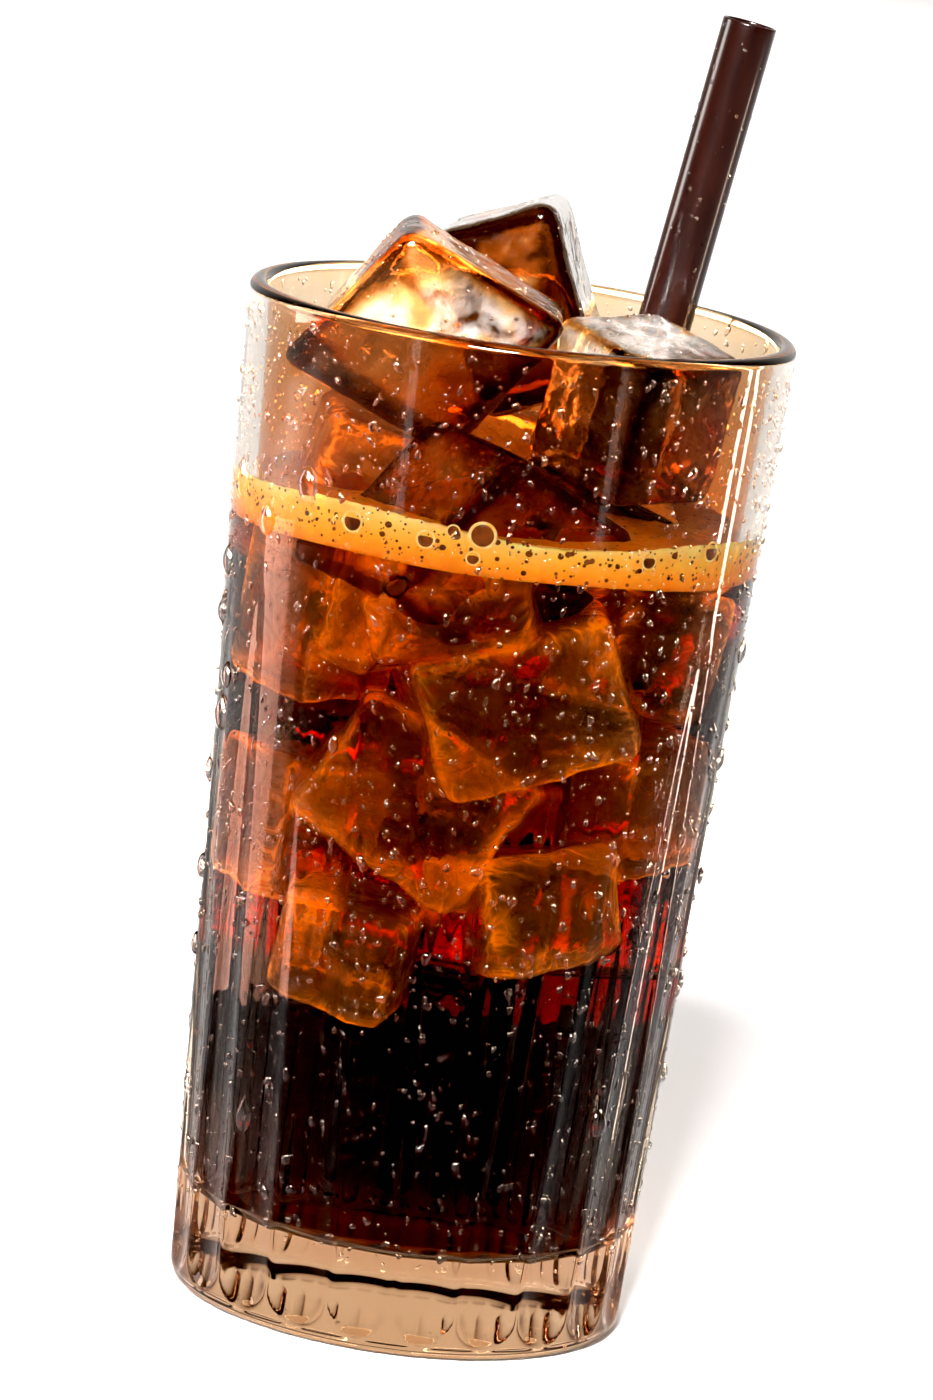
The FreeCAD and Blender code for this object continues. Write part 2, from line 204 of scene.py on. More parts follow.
# ---------------------------------------------------------------- material helpers
class Shader:
    """A material being built: adds nodes and links them by socket name."""

    def __init__(self, name):
        self.material = bpy.data.materials.new(name)
        self.material.use_nodes = True
        self.tree = self.material.node_tree
        self.tree.nodes.clear()
        self.out = self.tree.nodes.new("ShaderNodeOutputMaterial")

    def add(self, kind, **values):
        """A new node with these values on its input sockets."""
        node = self.tree.nodes.new("ShaderNode" + kind)
        for key, value in values.items():
            node.inputs[key].default_value = value
        return node

    def ramp(self, factor, stops):
        """A colour that follows factor through stops of (position, colour)."""
        node = self.add("ValToRGB")
        elements = node.color_ramp.elements
        while len(elements) < len(stops):
            elements.new(0.5)
        for element, (place, colour) in zip(elements, stops):
            element.position = place
            element.color = (*colour, 1.0)
        self.tree.links.new(factor, node.inputs["Fac"])
        return node.outputs["Color"]

    def math(self, operation, a, b=0.0, clamp=False):
        """One sum; a and b are numbers or sockets."""
        node = self.tree.nodes.new("ShaderNodeMath")
        node.operation = operation
        node.use_clamp = clamp
        for socket, value in zip(node.inputs, (a, b)):
            if hasattr(value, "is_output"):
                self.tree.links.new(value, socket)
            else:
                socket.default_value = value
        return node.outputs[0]

    def place(self, scale=(1, 1, 1)):
        """Object coordinates, in metres times scale."""
        coordinates = self.add("TexCoord").outputs["Object"]
        mapping = self.add("Mapping")
        self.tree.links.new(coordinates, mapping.inputs["Vector"])
        mapping.inputs["Scale"].default_value = scale
        return mapping.outputs["Vector"]

    def noise(self, vector, scale, detail=3.0, roughness=0.5, distortion=0.0):
        """Smooth noise from 0 to 1."""
        node = self.add("TexNoise", Scale=scale, Detail=detail, Roughness=roughness, Distortion=distortion)
        self.tree.links.new(vector, node.inputs["Vector"])
        return node.outputs["Fac"]

    def cells(self, vector, scale):
        """Distance from the middles of scattered cells."""
        node = self.add("TexVoronoi", Scale=scale)
        self.tree.links.new(vector, node.inputs["Vector"])
        return node.outputs["Distance"]

    def bump(self, height, distance, strength, normal=None):
        """A normal that follows height, on top of another normal if one is given."""
        node = self.add("Bump", Strength=strength, Distance=distance)
        self.tree.links.new(height, node.inputs["Height"])
        if normal is not None:
            self.tree.links.new(normal, node.inputs["Normal"])
        return node.outputs["Normal"]

    def attribute(self, name):
        """A number painted on the mesh."""
        node = self.add("Attribute")
        node.attribute_name = name
        return node.outputs["Fac"]

    def surface(self, socket):
        """Use a socket as the material's surface."""
        self.tree.links.new(socket, self.out.inputs["Surface"])

    def volume(self, socket):
        """Use a socket as the material's inside."""
        self.tree.links.new(socket, self.out.inputs["Volume"])

    def principled(self, links, **values):
        """A Principled surface; links holds sockets, values holds plain values, both by name."""
        node = self.add("BsdfPrincipled")
        for key, value in values.items():
            node.inputs[key.replace("_", " ")].default_value = value
        for key, socket in links.items():
            self.tree.links.new(socket, node.inputs[key.replace("_", " ")])
        return node.outputs[0]


def dress(obj, material):
    """Give an object one material."""
    obj.data.materials.clear()
    obj.data.materials.append(material)


# ---------------------------------------------------------------- materials
GLASS_TINT = (0.985, 0.970, 0.945, 1)
GLASS_MIRROR = (0.15, 0.07, 0.045, 1)  # how much the outside mirrors, kept low over the dark drink
FILM_MIRROR = (0.6, 0.6, 0.6, 1)
NO_MIRROR = (0, 0, 0, 1)
GLASS_IOR = 1.5
COFFEE_IOR = 1.34
ICE_IOR = 1.31
WATER_IOR = 1.333


def wavy_normal(s):
    """The slight waviness of pressed glass."""
    return s.bump(s.noise(s.place(), 90.0, detail=1.0), 0.25 * MM, 0.06)


def glass_depth(s):
    """The brown that thick glass takes on."""
    return s.add("VolumeAbsorption", Color=(0.80, 0.52, 0.22, 1), Density=24.0).outputs[0]


def glass_material(name, mirror):
    """Clear glass, slightly wavy. mirror is the colour and strength of what it mirrors."""
    s = Shader(name)
    s.surface(s.principled(
        {"Normal": wavy_normal(s)}, Base_Color=GLASS_TINT, Roughness=0.0, IOR=GLASS_IOR,
        Transmission_Weight=1.0, Specular_Tint=mirror))
    s.volume(glass_depth(s))
    return s.material


def filmed_and_rim_shaded_glass_material():
    """The inside of the glass above the drink, tinted by coffee left on it, and its rim, where the extra
    tint is painted shade.
    """
    s = Shader("filmed_and_rim_shaded_glass")
    streaks = s.noise(s.place((1, 1, 0.4)), 110.0, detail=3.0, distortion=0.6)
    uneven = s.math("MULTIPLY", s.math("SUBTRACT", streaks, 0.5), 0.7)
    film_and_rim_shade = s.math("ADD", s.attribute("film_and_rim_shade"), uneven)
    colour = s.ramp(film_and_rim_shade, [(0.0, (0.66, 0.46, 0.27)), (0.35, (0.64, 0.31, 0.10)),
                           (0.70, (0.72, 0.26, 0.04)), (1.0, (0.60, 0.14, 0.01))])
    s.surface(s.principled(
        {"Normal": wavy_normal(s), "Base_Color": colour}, Roughness=0.0, IOR=GLASS_IOR,
        Transmission_Weight=1.0, Specular_Tint=FILM_MIRROR))
    return s.material


def coffee_material():
    """Coffee that takes out blue and green first, so that it is amber where thin and black where deep."""
    s = Shader("black_coffee")
    ripple = s.bump(s.noise(s.place(), 160.0, detail=2.0), 0.1 * MM, 0.15)
    s.surface(s.principled(
        {"Normal": ripple}, Base_Color=(1.0, 0.97, 0.94, 1), Roughness=0.0, IOR=COFFEE_IOR,
        Transmission_Weight=1.0, Specular_Tint=NO_MIRROR))
    s.volume(s.add("VolumeAbsorption", Color=(0.853, 0.660, 0.0, 1), Density=300.0).outputs[0])
    return s.material


def foam_material():
    """Golden foam: darker below, pale at its top, with fine dark pores."""
    s = Shader("golden_foam")
    place = s.place()
    height = s.attribute("height")
    tone = s.math("ADD", height, s.math("MULTIPLY", s.math("SUBTRACT", s.noise(place, 140.0), 0.5), 0.5))
    colour = s.ramp(tone, [(0.0, (0.80, 0.22, 0.010)), (0.35, (0.95, 0.38, 0.028)),
                           (0.75, (1.0, 0.55, 0.10)), (1.0, (1.0, 0.74, 0.28))])
    pores = s.cells(place, 900.0)
    size = s.noise(place, 420.0, detail=2.0)
    edge = s.math("MULTIPLY", s.math("SUBTRACT", size, 0.35, clamp=True), 0.95)
    hole = s.math("GREATER_THAN", edge, pores)
    mix = s.add("MixRGB")
    s.tree.links.new(hole, mix.inputs["Fac"])
    s.tree.links.new(colour, mix.inputs["Color1"])
    mix.inputs["Color2"].default_value = (0.20, 0.055, 0.012, 1)
    relief = s.bump(pores, 0.3 * MM, 0.7)
    s.surface(s.principled(
        {"Base_Color": mix.outputs[0], "Normal": relief}, Roughness=0.35, IOR=1.35,
        Subsurface_Weight=0.35, Subsurface_Radius=(1.0, 0.45, 0.15), Subsurface_Scale=1.2 * MM))
    return s.material


PATCH_DEPTH = 2.4  # how much darker the stained patches of the ice are
EDGE_POWER = 2.5
THREAD_POWER = 9.0


def ice_material(name, mirror, stain_shade_colours, vein, frosty, glow):
    """Clear melting ice: frosty in the middle of its faces and tinted along its edges.

    mirror is how much it mirrors, stain_shade_colours are its colours from clean to most tinted, vein is
    how much of its edges are cloudy veins that catch the light, frosty how white its faces are, and
    glow how strongly the veins and frost give off a painted amber glow, a light of their own that
    stands in for the light that wanders about in the drink.
    """
    s = Shader(name)
    place = s.place()
    edge = s.attribute("edge")
    # How stained the ice is; along the edges of the blocks above the drink, also painted shade.
    stain_and_shade = s.math("ADD", s.attribute("stain_and_shade"), s.math("MULTIPLY", s.noise(place, 240.0), 0.5))
    patch = s.noise(place, 75.0, detail=2.0, distortion=0.4)
    patch = s.math("MULTIPLY", s.math("SUBTRACT", patch, 0.45, clamp=True), PATCH_DEPTH)
    colour = s.ramp(s.math("ADD", stain_and_shade, patch), list(zip((0.30, 0.55, 0.80, 1.0), stain_shade_colours)))
    middle = s.math("SUBTRACT", 0.85, edge, clamp=True)
    wisps = s.noise(place, 150.0, detail=6.0, roughness=0.62, distortion=0.7)
    cloud = s.math("MULTIPLY", s.math("SUBTRACT", wisps, 0.36, clamp=True), 4.0, clamp=True)
    frost = s.math("MULTIPLY", s.math("MULTIPLY", middle, cloud), frosty)
    threads = s.noise(place, 130.0, detail=3.0, roughness=0.6, distortion=1.2)
    off_thread = s.math("ABSOLUTE", s.math("SUBTRACT", s.math("MULTIPLY", threads, 2.0), 1.0))
    thread = s.math("POWER", s.math("SUBTRACT", 1.0, off_thread, clamp=True), THREAD_POWER)
    lively = s.math("SUBTRACT", s.noise(place, 48.0, detail=1.0), 0.38, clamp=True)
    near_edge = s.math("POWER", edge, EDGE_POWER)
    ridge = s.math("MULTIPLY", s.math("MULTIPLY", near_edge, lively), 6.5 * vein)
    bright = s.math("MULTIPLY", ridge, s.math("ADD", s.math("MULTIPLY", thread, 0.9), 0.13), clamp=True)
    clear = s.math("SUBTRACT", s.math("SUBTRACT", 1.0, frost), bright, clamp=True)
    melt = s.noise(place, 220.0, detail=3.0, distortion=0.6)
    fine = s.noise(place, 1300.0, detail=2.0)
    relief = s.bump(fine, 0.06 * MM, 0.5, normal=s.bump(melt, 0.6 * MM, 0.45))
    # Painted glow: the veins, and faintly the frosted faces, give off amber light of their own, standing
    # in for light scattered in the drink.
    painted_glow_share = s.math("ADD", bright, s.math("MULTIPLY", frost, 0.13))
    painted_glow_colour = s.ramp(painted_glow_share, [(0.0, (1.0, 0.50, 0.24)), (0.22, (1.0, 0.40, 0.14)), (0.6, (1.0, 0.30, 0.02))])
    links = {"Base_Color": colour, "Normal": relief}
    if frosty or vein:
        links.update(Transmission_Weight=clear, Roughness=s.math("MULTIPLY", frost, 0.4))
    if glow:
        links.update(Emission_Color=painted_glow_colour, Emission_Strength=s.math("MULTIPLY", painted_glow_share, glow))
    s.surface(s.principled(
        links, Transmission_Weight=1.0, Roughness=0.0, IOR=ICE_IOR,
        Specular_Tint=(mirror, mirror, mirror, 1)))
    s.material.cycles.emission_sampling = "NONE"
    return s.material


def straw_material():
    """Glossy dark brown plastic with faint streaks along it."""
    s = Shader("dark_straw")
    place = s.place((1, 1, 0.15))
    streak = s.noise(place, 500.0, detail=2.0)
    colour = s.ramp(streak, [(0.3, (0.010, 0.0028, 0.002)), (0.7, (0.022, 0.006, 0.004))])
    relief = s.bump(s.noise(s.place(), 350.0), 0.05 * MM, 0.3)
    s.surface(s.principled(
        {"Base_Color": colour, "Normal": relief}, Roughness=0.24, IOR=1.5, Coat_Weight=0.35,
        Coat_Roughness=0.08))
    return s.material


def water_material():
    """Clear water with a bright skin that catches the light."""
    s = Shader("water")
    ripple = s.bump(s.noise(s.place(), 500.0), 0.03 * MM, 0.2)
    s.surface(s.principled({"Normal": ripple}, Base_Color=(1, 1, 1, 1), Roughness=0.0, IOR=WATER_IOR,
                           Transmission_Weight=1.0, Coat_Weight=0.6, Coat_Roughness=0.12))
    return s.material


def bubble_material():
    """The dark, shining inside of a bubble in the foam."""
    s = Shader("foam_bubble")
    colour = s.ramp(s.noise(s.place(), 600.0), [(0.3, (0.05, 0.010, 0.003)), (0.7, (0.22, 0.06, 0.012))])
    s.surface(s.principled({"Base_Color": colour}, Roughness=0.12, IOR=1.33, Coat_Weight=0.5))
    return s.material


def bubble_rim_material():
    """The pale rim round a large bubble."""
    s = Shader("bubble_rim")
    colour = s.ramp(s.noise(s.place(), 800.0), [(0.3, (0.93, 0.55, 0.12)), (0.7, (0.98, 0.78, 0.38))])
    s.surface(s.principled({"Base_Color": colour}, Roughness=0.2, IOR=1.35))
    return s.material


def floor_material():
    """A plain pale table."""
    s = Shader("pale_floor")
    colour = s.ramp(s.noise(s.place(), 6.0), [(0.3, (0.86, 0.86, 0.86)), (0.7, (0.88, 0.88, 0.88))])
    s.surface(s.principled({"Base_Color": colour}, Roughness=0.8))
    return s.material


GLASS = glass_material("clear_glass", GLASS_MIRROR)
WETTED_GLASS = glass_material("wetted_glass", NO_MIRROR)
FILMED_AND_RIM_SHADED_GLASS = filmed_and_rim_shaded_glass_material()
COFFEE = coffee_material()
FOAM = foam_material()
# Colours of ice from clean to most tinted; the dry blocks' dark end is stain and painted shade.
DRY_STAIN_AND_SHADE = [(0.80, 0.74, 0.68), (0.88, 0.50, 0.19), (0.40, 0.10, 0.015), (0.05, 0.013, 0.004)]
SUNK_STAINS = [(0.98, 0.96, 0.92), (0.98, 0.94, 0.86), (0.98, 0.86, 0.62), (1.0, 0.72, 0.30)]
ICE = ice_material("melting_ice", 0.4, DRY_STAIN_AND_SHADE, 0.0, 0.42, 0.0)
# Sunk ice has a painted amber glow along its veins and faintly on its frosted faces.
SUNK_ICE_PAINTED_GLOW = ice_material("sunk_ice_painted_glow", 0.0, SUNK_STAINS, 1.0, 0.62, 0.90)
HIDDEN_ICE_LOOK = ice_material("clear_sunk_ice", 0.0, SUNK_STAINS, 0.0, 0.0, 0.0)
STRAW = straw_material()
WATER = water_material()
BUBBLE = bubble_material()
BUBBLE_RIM = bubble_rim_material()


# ---------------------------------------------------------------- glass
def arc_profile(centre_r, centre_z, radius, start, end, steps):
    """Points (r, z) along an arc in the profile's plane, angles in degrees."""
    angle = np.radians(np.linspace(start, end, steps))
    return [(centre_r + radius * math.cos(a), centre_z + radius * math.sin(a)) for a in angle]


def build_glass():
    """The tumbler: fluted outside, round rim, smooth inside and thick floor, as one closed skin."""
    columns = FLUTES * FLUTE_COLUMNS
    angle = np.arange(columns) * 2 * math.pi / columns
    bead = WALL / 2
    rings = []

    def add_ring(radius, z):
        rings.append(circle(radius, z, columns))

    for r in np.linspace(4 * MM, FOOT_R - FOOT_EDGE, 5):
        add_ring(r, 0.0)
    for r, z in arc_profile(FOOT_R - FOOT_EDGE, FOOT_EDGE, FOOT_EDGE, -75, -3, 6):
        add_ring(r, z)
    heights = np.concatenate([
        np.linspace(FOOT_EDGE, 9 * MM, 16), np.linspace(10 * MM, FLUTE_FADE, 44),
        np.linspace(FLUTE_FADE + 3 * MM, RIM_Z - bead, 12)])
    for z in heights:
        add_ring(outer_radius(angle, z), z)
    rim_rings = len(rings)
    for r, z in arc_profile(RIM_R - bead, RIM_Z - bead, bead, 10, 170, 13):
        add_ring(r, z)
    for z in np.linspace(RIM_Z - bead, LEVEL_Z + 6 * MM, 8):
        add_ring(inner_radius(z), z)
    dry_rings = len(rings)
    for z in np.linspace(LEVEL_Z + 5 * MM, FLOOR_Z + FLOOR_FILLET, 30):
        add_ring(inner_radius(z), z)
    for r, z in arc_profile(FLOOR_R - FLOOR_FILLET, FLOOR_Z + FLOOR_FILLET, FLOOR_FILLET, -8, -90, 9):
        add_ring(r, z)
    for r in np.linspace(FLOOR_R - FLOOR_FILLET, 4 * MM, 5)[1:]:
        add_ring(r, FLOOR_Z)
    points, faces = closed_rings(rings)
    glass = add_object("tumbler", points, faces)
    z = np.asarray(points)[:, 2]
    # Coffee left on the inside, most near the drink; the extra near the rim's top is painted shade for its
    # dark outline.
    film_and_rim_shade = 0.95 - (z - LEVEL_Z) / FILM_CLIMB + 0.45 * np.clip((z - RIM_Z) / WALL + 1, 0, 1)
    paint(glass, "film_and_rim_shade", np.clip(film_and_rim_shade, 0, 1))
    dress(glass, GLASS)
    glass.data.materials.append(WETTED_GLASS)
    glass.data.materials.append(FILMED_AND_RIM_SHADED_GLASS)
    ring = np.arange(len(glass.data.polygons)) // columns
    slots = np.where(ring >= dry_rings, 1, np.where(ring >= rim_rings, 2, 0))
    slots[-2 * columns:] = np.tile([0, 1], columns)
    glass.data.polygons.foreach_set("material_index", slots.astype(np.int32))
    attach(glass, "root")
    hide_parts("glass")


# ---------------------------------------------------------------- ice
def rounded_block(name, centre, edges, rounding, cuts):
    """A block with rounded edges. edges holds its three half-edge vectors as columns."""
    bm = bmesh.new()
    bmesh.ops.create_cube(bm, size=2.0)
    bmesh.ops.subdivide_edges(bm, edges=bm.edges[:], cuts=cuts, use_grid_fill=True)
    mesh = bpy.data.meshes.new(name)
    bm.to_mesh(mesh)
    bm.free()
    unit = vertex_values(mesh, "co")
    half = np.linalg.norm(edges, axis=0)
    local = unit * half
    core = np.clip(local, -(half - rounding), half - rounding)
    away = local - core
    length = np.linalg.norm(away, axis=1, keepdims=True)
    local = core + away / np.maximum(length, 1e-9) * rounding
    points = centre + local @ (edges / half).T
    near_edge = np.sort(half - abs(unit * half), axis=1)[:, 1]
    mesh.vertices.foreach_set("co", points.ravel())
    smooth(mesh)
    mesh.update()
    obj = bpy.data.objects.new(name, mesh)
    scene.collection.objects.link(obj)
    paint(obj, "edge", np.clip(1 - near_edge / EDGE_WIDTH, 0, 1))
    return obj


def melt(obj, amount, seed):
    """Push a block's skin in and out a little, as melting does."""
    mesh = obj.data
    points = vertex_values(mesh, "co")
    normals = vertex_values(mesh, "normal")
    push = rounded_shift(points, normals, seed, amount)
    mesh.vertices.foreach_set("co", (points + normals * push[:, None]).ravel())
    mesh.update()


def block_of(node):
    """Centre and half-edge vectors of a CAD block, from its three pairs of flat faces."""
    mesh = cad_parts[node].data
    areas = np.array([p.area for p in mesh.polygons])
    normals = np.array([p.normal[:] for p in mesh.polygons])
    chosen = []
    for index in np.argsort(-areas):
        if all(abs(normals[index] @ other) < 0.8 for other in chosen):
            chosen.append(normals[index])
        if len(chosen) == 3:
            break
    planes = np.array(chosen)
    reach = node_points(node) @ planes.T
    high, low = reach.max(0), reach.min(0)
    inverse = np.linalg.inv(planes)
    centre = inverse @ ((high + low) / 2)
    edges = inverse @ np.diag((high - low) / 2)
    return centre, edges


# The blocks in the frame: how much larger each is made where it has frozen to the next, and
# how much further than the others its tint is moved towards dark; below zero, towards clean.
ICE_NODES = {"ice_left": (1.04, 0.0), "ice_back": (1.02, 0.50), "ice_right": (1.02, -0.36),
             "ice_front": (1.16, 0.0), "ice_low": (1.14, 0.10)}
ICE_ROUNDING = 2.6 * MM
MELT = 0.55 * MM  # how far melting moves the skin
MELT_STEP = 3.7  # keeps the blocks' melting apart in the noise
EDGE_WIDTH = 5.0 * MM  # how far from its edges a block counts as edge
ICE_INTO_COFFEE = 0.12 * MM  # how far ice reaches into the coffee, so that no gap shows
STAIN_CLIMB = 26 * MM
SHOWN_CUTS = 26  # how finely blocks that show are divided
HIDDEN_CUTS = 12
ICE_OFF_WALL = 0.35 * MM

# Ice wholly under the coffee that shows through the glass: its centre and edge lengths in mm
# and its turns about X, Y and Z in degrees.
SUNK_ICE = {
    "under_left": ((-19.5, 3.0, 118.0), (23, 22, 24), (4, 14, 12)),
    "under_back": ((-0.5, 19.0, 119.5), (20, 15, 24), (-6, 8, -10)),
    "under_right": ((22.0, -9.0, 104.5), (19, 19, 20), (-6, 14, 30)),
    "under_front": ((-4.0, -21.5, 107.5), (23, 15, 11), (6, -16, -4)),
    "upper_right": ((6.5, -20.0, 96.5), (28, 20, 22), (6, -22, 8)),
    "middle": ((-7.0, -20.5, 79.5), (27, 20, 23), (-6, 27, -6)),
    "far_left": ((-25.0, -10.5, 104.0), (17, 19, 24), (4, 8, -42)),
    "left": ((-13.5, -17.0, 106.0), (9, 18, 17), (0, 12, -24)),
    "lower_left": ((-13.5, -21.0, 57.0), (18, 18, 17), (10, 12, -22)),
    "lower_right": ((14.0, -19.5, 66.0), (20, 19, 18), (-8, -14, 26)),
    "right": ((24.5, -9.0, 82.0), (17, 19, 20), (6, -10, 50)),
    "lower_edge": ((-25.5, -7.0, 72.0), (16, 19, 22), (-4, 6, -58)),
}
# Rows of hidden ice behind these: place from left to right and front to back, and size.
HIDDEN_ROW = [(-23.0, 3.5, 20.0), (0.0, 0.0, 21.0), (22.5, 6.0, 19.0), (-11.0, 21.0, 20.0),
              (8.0, 19.5, 15.0)]
HIDDEN_LEVELS = [103.0, 81.0, 60.0]
HIDDEN_SCATTER = (1.5, 1.5, 4.5)


def rounded_shift(points, normals, seed, amount):
    """How far melting moves each point of a block along its normal."""
    far, near = Vector((seed, 0, 0)), Vector((0, seed, 0))
    shift = np.array([noise.noise(Vector(p) * 95.0 + far) for p in points])
    fine = np.array([noise.noise(Vector(p) * 330.0 + near) for p in points])
    return amount * (0.8 * shift + 0.25 * fine - 0.35)


def keep_inside(centre, edges):
    """Move a block straight inwards until its rounded corners clear the glass's wall."""
    half = np.linalg.norm(edges, axis=0)
    corners = np.array([(a, b, c) for a in (-1, 1) for b in (-1, 1) for c in (-1, 1)])
    reach = corners * (half - ICE_ROUNDING)
    for _ in range(40):
        places = centre + reach @ (edges / half).T
        radius = np.hypot(places[:, 0], places[:, 1]) + ICE_ROUNDING
        over = (radius - (inner_radius(places[:, 2]) - ICE_OFF_WALL)).max()
        if over <= 0:
            break
        out = np.hypot(centre[0], centre[1])
        centre = centre * np.array([(out - over) / out, (out - over) / out, 1.0])
    return centre


def sunk_blocks():
    """Name, centre and half-edge vectors of every block under the coffee."""
    blocks = []
    for name, (centre, size, turn) in SUNK_ICE.items():
        rotation = np.array(Euler([math.radians(a) for a in turn]).to_matrix())
        edges = rotation @ np.diag(np.array(size) * MM / 2)
        blocks.append((f"sunk_{name}", keep_inside(np.array(centre) * MM, edges), edges))
    for level, z in enumerate(HIDDEN_LEVELS):
        for index, (x, y, size) in enumerate(HIDDEN_ROW):
            turn = rng.uniform(-26, 26, 3)
            rotation = np.array(Euler([math.radians(a) for a in turn]).to_matrix())
            edges = rotation @ np.diag(rng.uniform(0.92, 1.04, 3) * size * MM / 2)
            centre = np.array([x, y, z]) + rng.uniform(-1, 1, 3) * HIDDEN_SCATTER
            blocks.append((f"hidden_{level}_{index}", keep_inside(centre * MM, edges), edges))
    return blocks


def build_ice():
    """All ice: the blocks that stick out, read from the frame, and the ones under the coffee."""
    pieces = []
    blocks = []
    for node, (growth, _) in ICE_NODES.items():
        centre, edges = block_of(node)
        blocks.append((node, centre, edges * growth))
    blocks += sunk_blocks()
    for seed, (name, centre, edges) in enumerate(blocks, start=1):
        hidden = name.startswith("hidden")
        cuts = HIDDEN_CUTS if hidden else SHOWN_CUTS
        block = rounded_block(f"{name}_block", centre, edges, ICE_ROUNDING, cuts)
        melt(block, MELT, seed * MELT_STEP)
        stain_and_shade(block, ICE_NODES[name][1] if name in ICE_NODES else 0.0)
        if name in ICE_NODES:
            look = ICE
        elif hidden:
            look = HIDDEN_ICE_LOOK
        else:
            look = SUNK_ICE_PAINTED_GLOW
        dress(block, look)
        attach(block, "root")
        if name in ICE_NODES:
            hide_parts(name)
        pieces.append(block)
    return pieces


def stain_and_shade(block, more):
    """How dark a block's tint is made: coffee stain near the drink's level, stain and painted shade near
    its edges, and more for the whole block.
    """
    edge = np.zeros(len(block.data.vertices))
    block.data.attributes["edge"].data.foreach_get("value", edge)
    height = vertex_values(block.data, "co")[:, 2] - LEVEL_Z
    low = np.clip(1 - height / STAIN_CLIMB, 0, 1)
    paint(block, "stain_and_shade", 0.85 * edge ** 2.2 + 0.30 * low + more)


def ice_cutters(blocks):
    """Copies of the ice with the skin moved a little inwards, to cut the coffee and foam with."""
    cutters = []
    for block in blocks:
        cutter = block.copy()
        cutter.data = block.data.copy()
        scene.collection.objects.link(cutter)
        points = vertex_values(cutter.data, "co")
        normals = vertex_values(cutter.data, "normal")
        cutter.data.vertices.foreach_set("co", (points - normals * ICE_INTO_COFFEE).ravel())
        cutter.data.update()
        cutters.append(cutter)
    return cutters


# ---------------------------------------------------------------- coffee and foam
def interface_height(x, y):
    """Height of the face between coffee and foam."""
    return LEVEL_Z + 0.9 * MM * np.sin(95.0 * x + 2.2) * np.cos(60.0 * y + 0.4) - 0.1 * MM


def foam_top(x, y):
    """Height of the foam's uneven top."""
    u, v = x / RIM_R, y / RIM_R
    ripple = np.sin(4.1 * u + 0.6) * np.cos(3.3 * v - 0.5)
    edge = (u * u + v * v) ** 2
    return LEVEL_Z + 5.6 * MM + 1.1 * MM * (0.9 * ripple + 0.8 * edge - 0.4)


def build_coffee(cutters):
    """The coffee up to the foam, reaching just into the glass's wall, hollow where ice is."""
    columns = 160
    rings = []
    for r in np.linspace(3 * MM, FLOOR_R - FLOOR_FILLET, 4):
        rings.append(circle(r, FLOOR_Z - INTO_WALL, columns))
    for r, z in arc_profile(FLOOR_R - FLOOR_FILLET, FLOOR_Z + FLOOR_FILLET,
                            FLOOR_FILLET + INTO_WALL, -80, -8, 7):
        rings.append(circle(r, z, columns))
    for z in np.linspace(FLOOR_Z + FLOOR_FILLET, LEVEL_Z - 2 * MM, 40):
        rings.append(circle(inner_radius(z) + INTO_WALL, z, columns))
    for share in np.linspace(1, 0.1, 12):
        ring = circle((inner_radius(LEVEL_Z) + INTO_WALL) * share, LEVEL_Z, columns)
        ring[:, 2] = interface_height(ring[:, 0], ring[:, 1])
        rings.append(ring)
    points, faces = closed_rings(rings)
    coffee = add_object("coffee_fill", points, faces)
    cut(coffee, cutters)
    smooth(coffee.data)
    dress(coffee, COFFEE)
    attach(coffee, "root")
    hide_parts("coffee")


def build_foam(cutters):
    """The foam: a slice with an uneven, pitted top that climbs a little up the wall."""
    columns = 420
    rings, tops = [], []

    def add_ring(share, height):
        ring = circle((inner_radius(LEVEL_Z) + INTO_WALL) * share, LEVEL_Z, columns)
        low = interface_height(ring[:, 0], ring[:, 1]) - 0.25 * MM
        high = foam_top(ring[:, 0], ring[:, 1])
        wall = inner_radius(LEVEL_Z + (high - LEVEL_Z) * height) + INTO_WALL
        scale = wall * share / np.hypot(ring[:, 0], ring[:, 1])
        ring[:, :2] *= scale[:, None]
        ring[:, 2] = low + (high - low) * height
        bumps = np.array([noise.noise(Vector(p) * 420.0) for p in ring])
        pits = np.array([noise.noise(Vector(p) * 900.0) for p in ring])
        ring[:, 2] += height * (0.28 * MM * bumps + 0.15 * MM * pits)
        rings.append(ring)
        tops.append(np.full(columns, height))

    for share in np.linspace(0.1, 0.97, 8):
        add_ring(share, 0.0)
    for height in np.linspace(0.0, 1.0, 14):
        add_ring(1.0, height)
    for share in 1 - np.linspace(0.008, 0.95, 75):
        add_ring(share, 1.0)
    points, faces = closed_rings(rings)
    foam = add_object("foam_layer", points, faces)
    paint(foam, "height", np.concatenate([np.concatenate(tops), [0.0, 1.0]]))
    cut(foam, cutters)
    smooth(foam.data)
    dress(foam, FOAM)
    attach(foam, "root")
    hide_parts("foam")


# Large bubbles in the foam against the glass: angle from the front in degrees (positive to
# the right), height above the coffee and radius in mm.
FOAM_BUBBLES = [(-33, 4.0, 1.5), (-15, 3.6, 1.25), (-9, 5.4, 0.9), (-2.5, 5.4, 1.8), (-4, 2.0, 0.95),
                (37, 3.6, 1.1), (56, 4.8, 1.4), (7.5, 0.9, 0.5), (-24, 4.8, 0.6), (44, 4.6, 0.6)]
SMALL_BUBBLES = 420
FOAM_CLIMB = 5.4


def bubble_frame(turn, height):
    """A place on the inside of the wall beside the foam, with outward, sideways and up axes."""
    angle = math.radians(turn - 90)
    outward = np.array([math.cos(angle), math.sin(angle), 0])
    side = np.array([-math.sin(angle), math.cos(angle), 0])
    up = np.array([0, 0, 1.0])
    z = LEVEL_Z + height * MM
    return outward * (inner_radius(z) + INTO_WALL) + up * z, outward, side, up


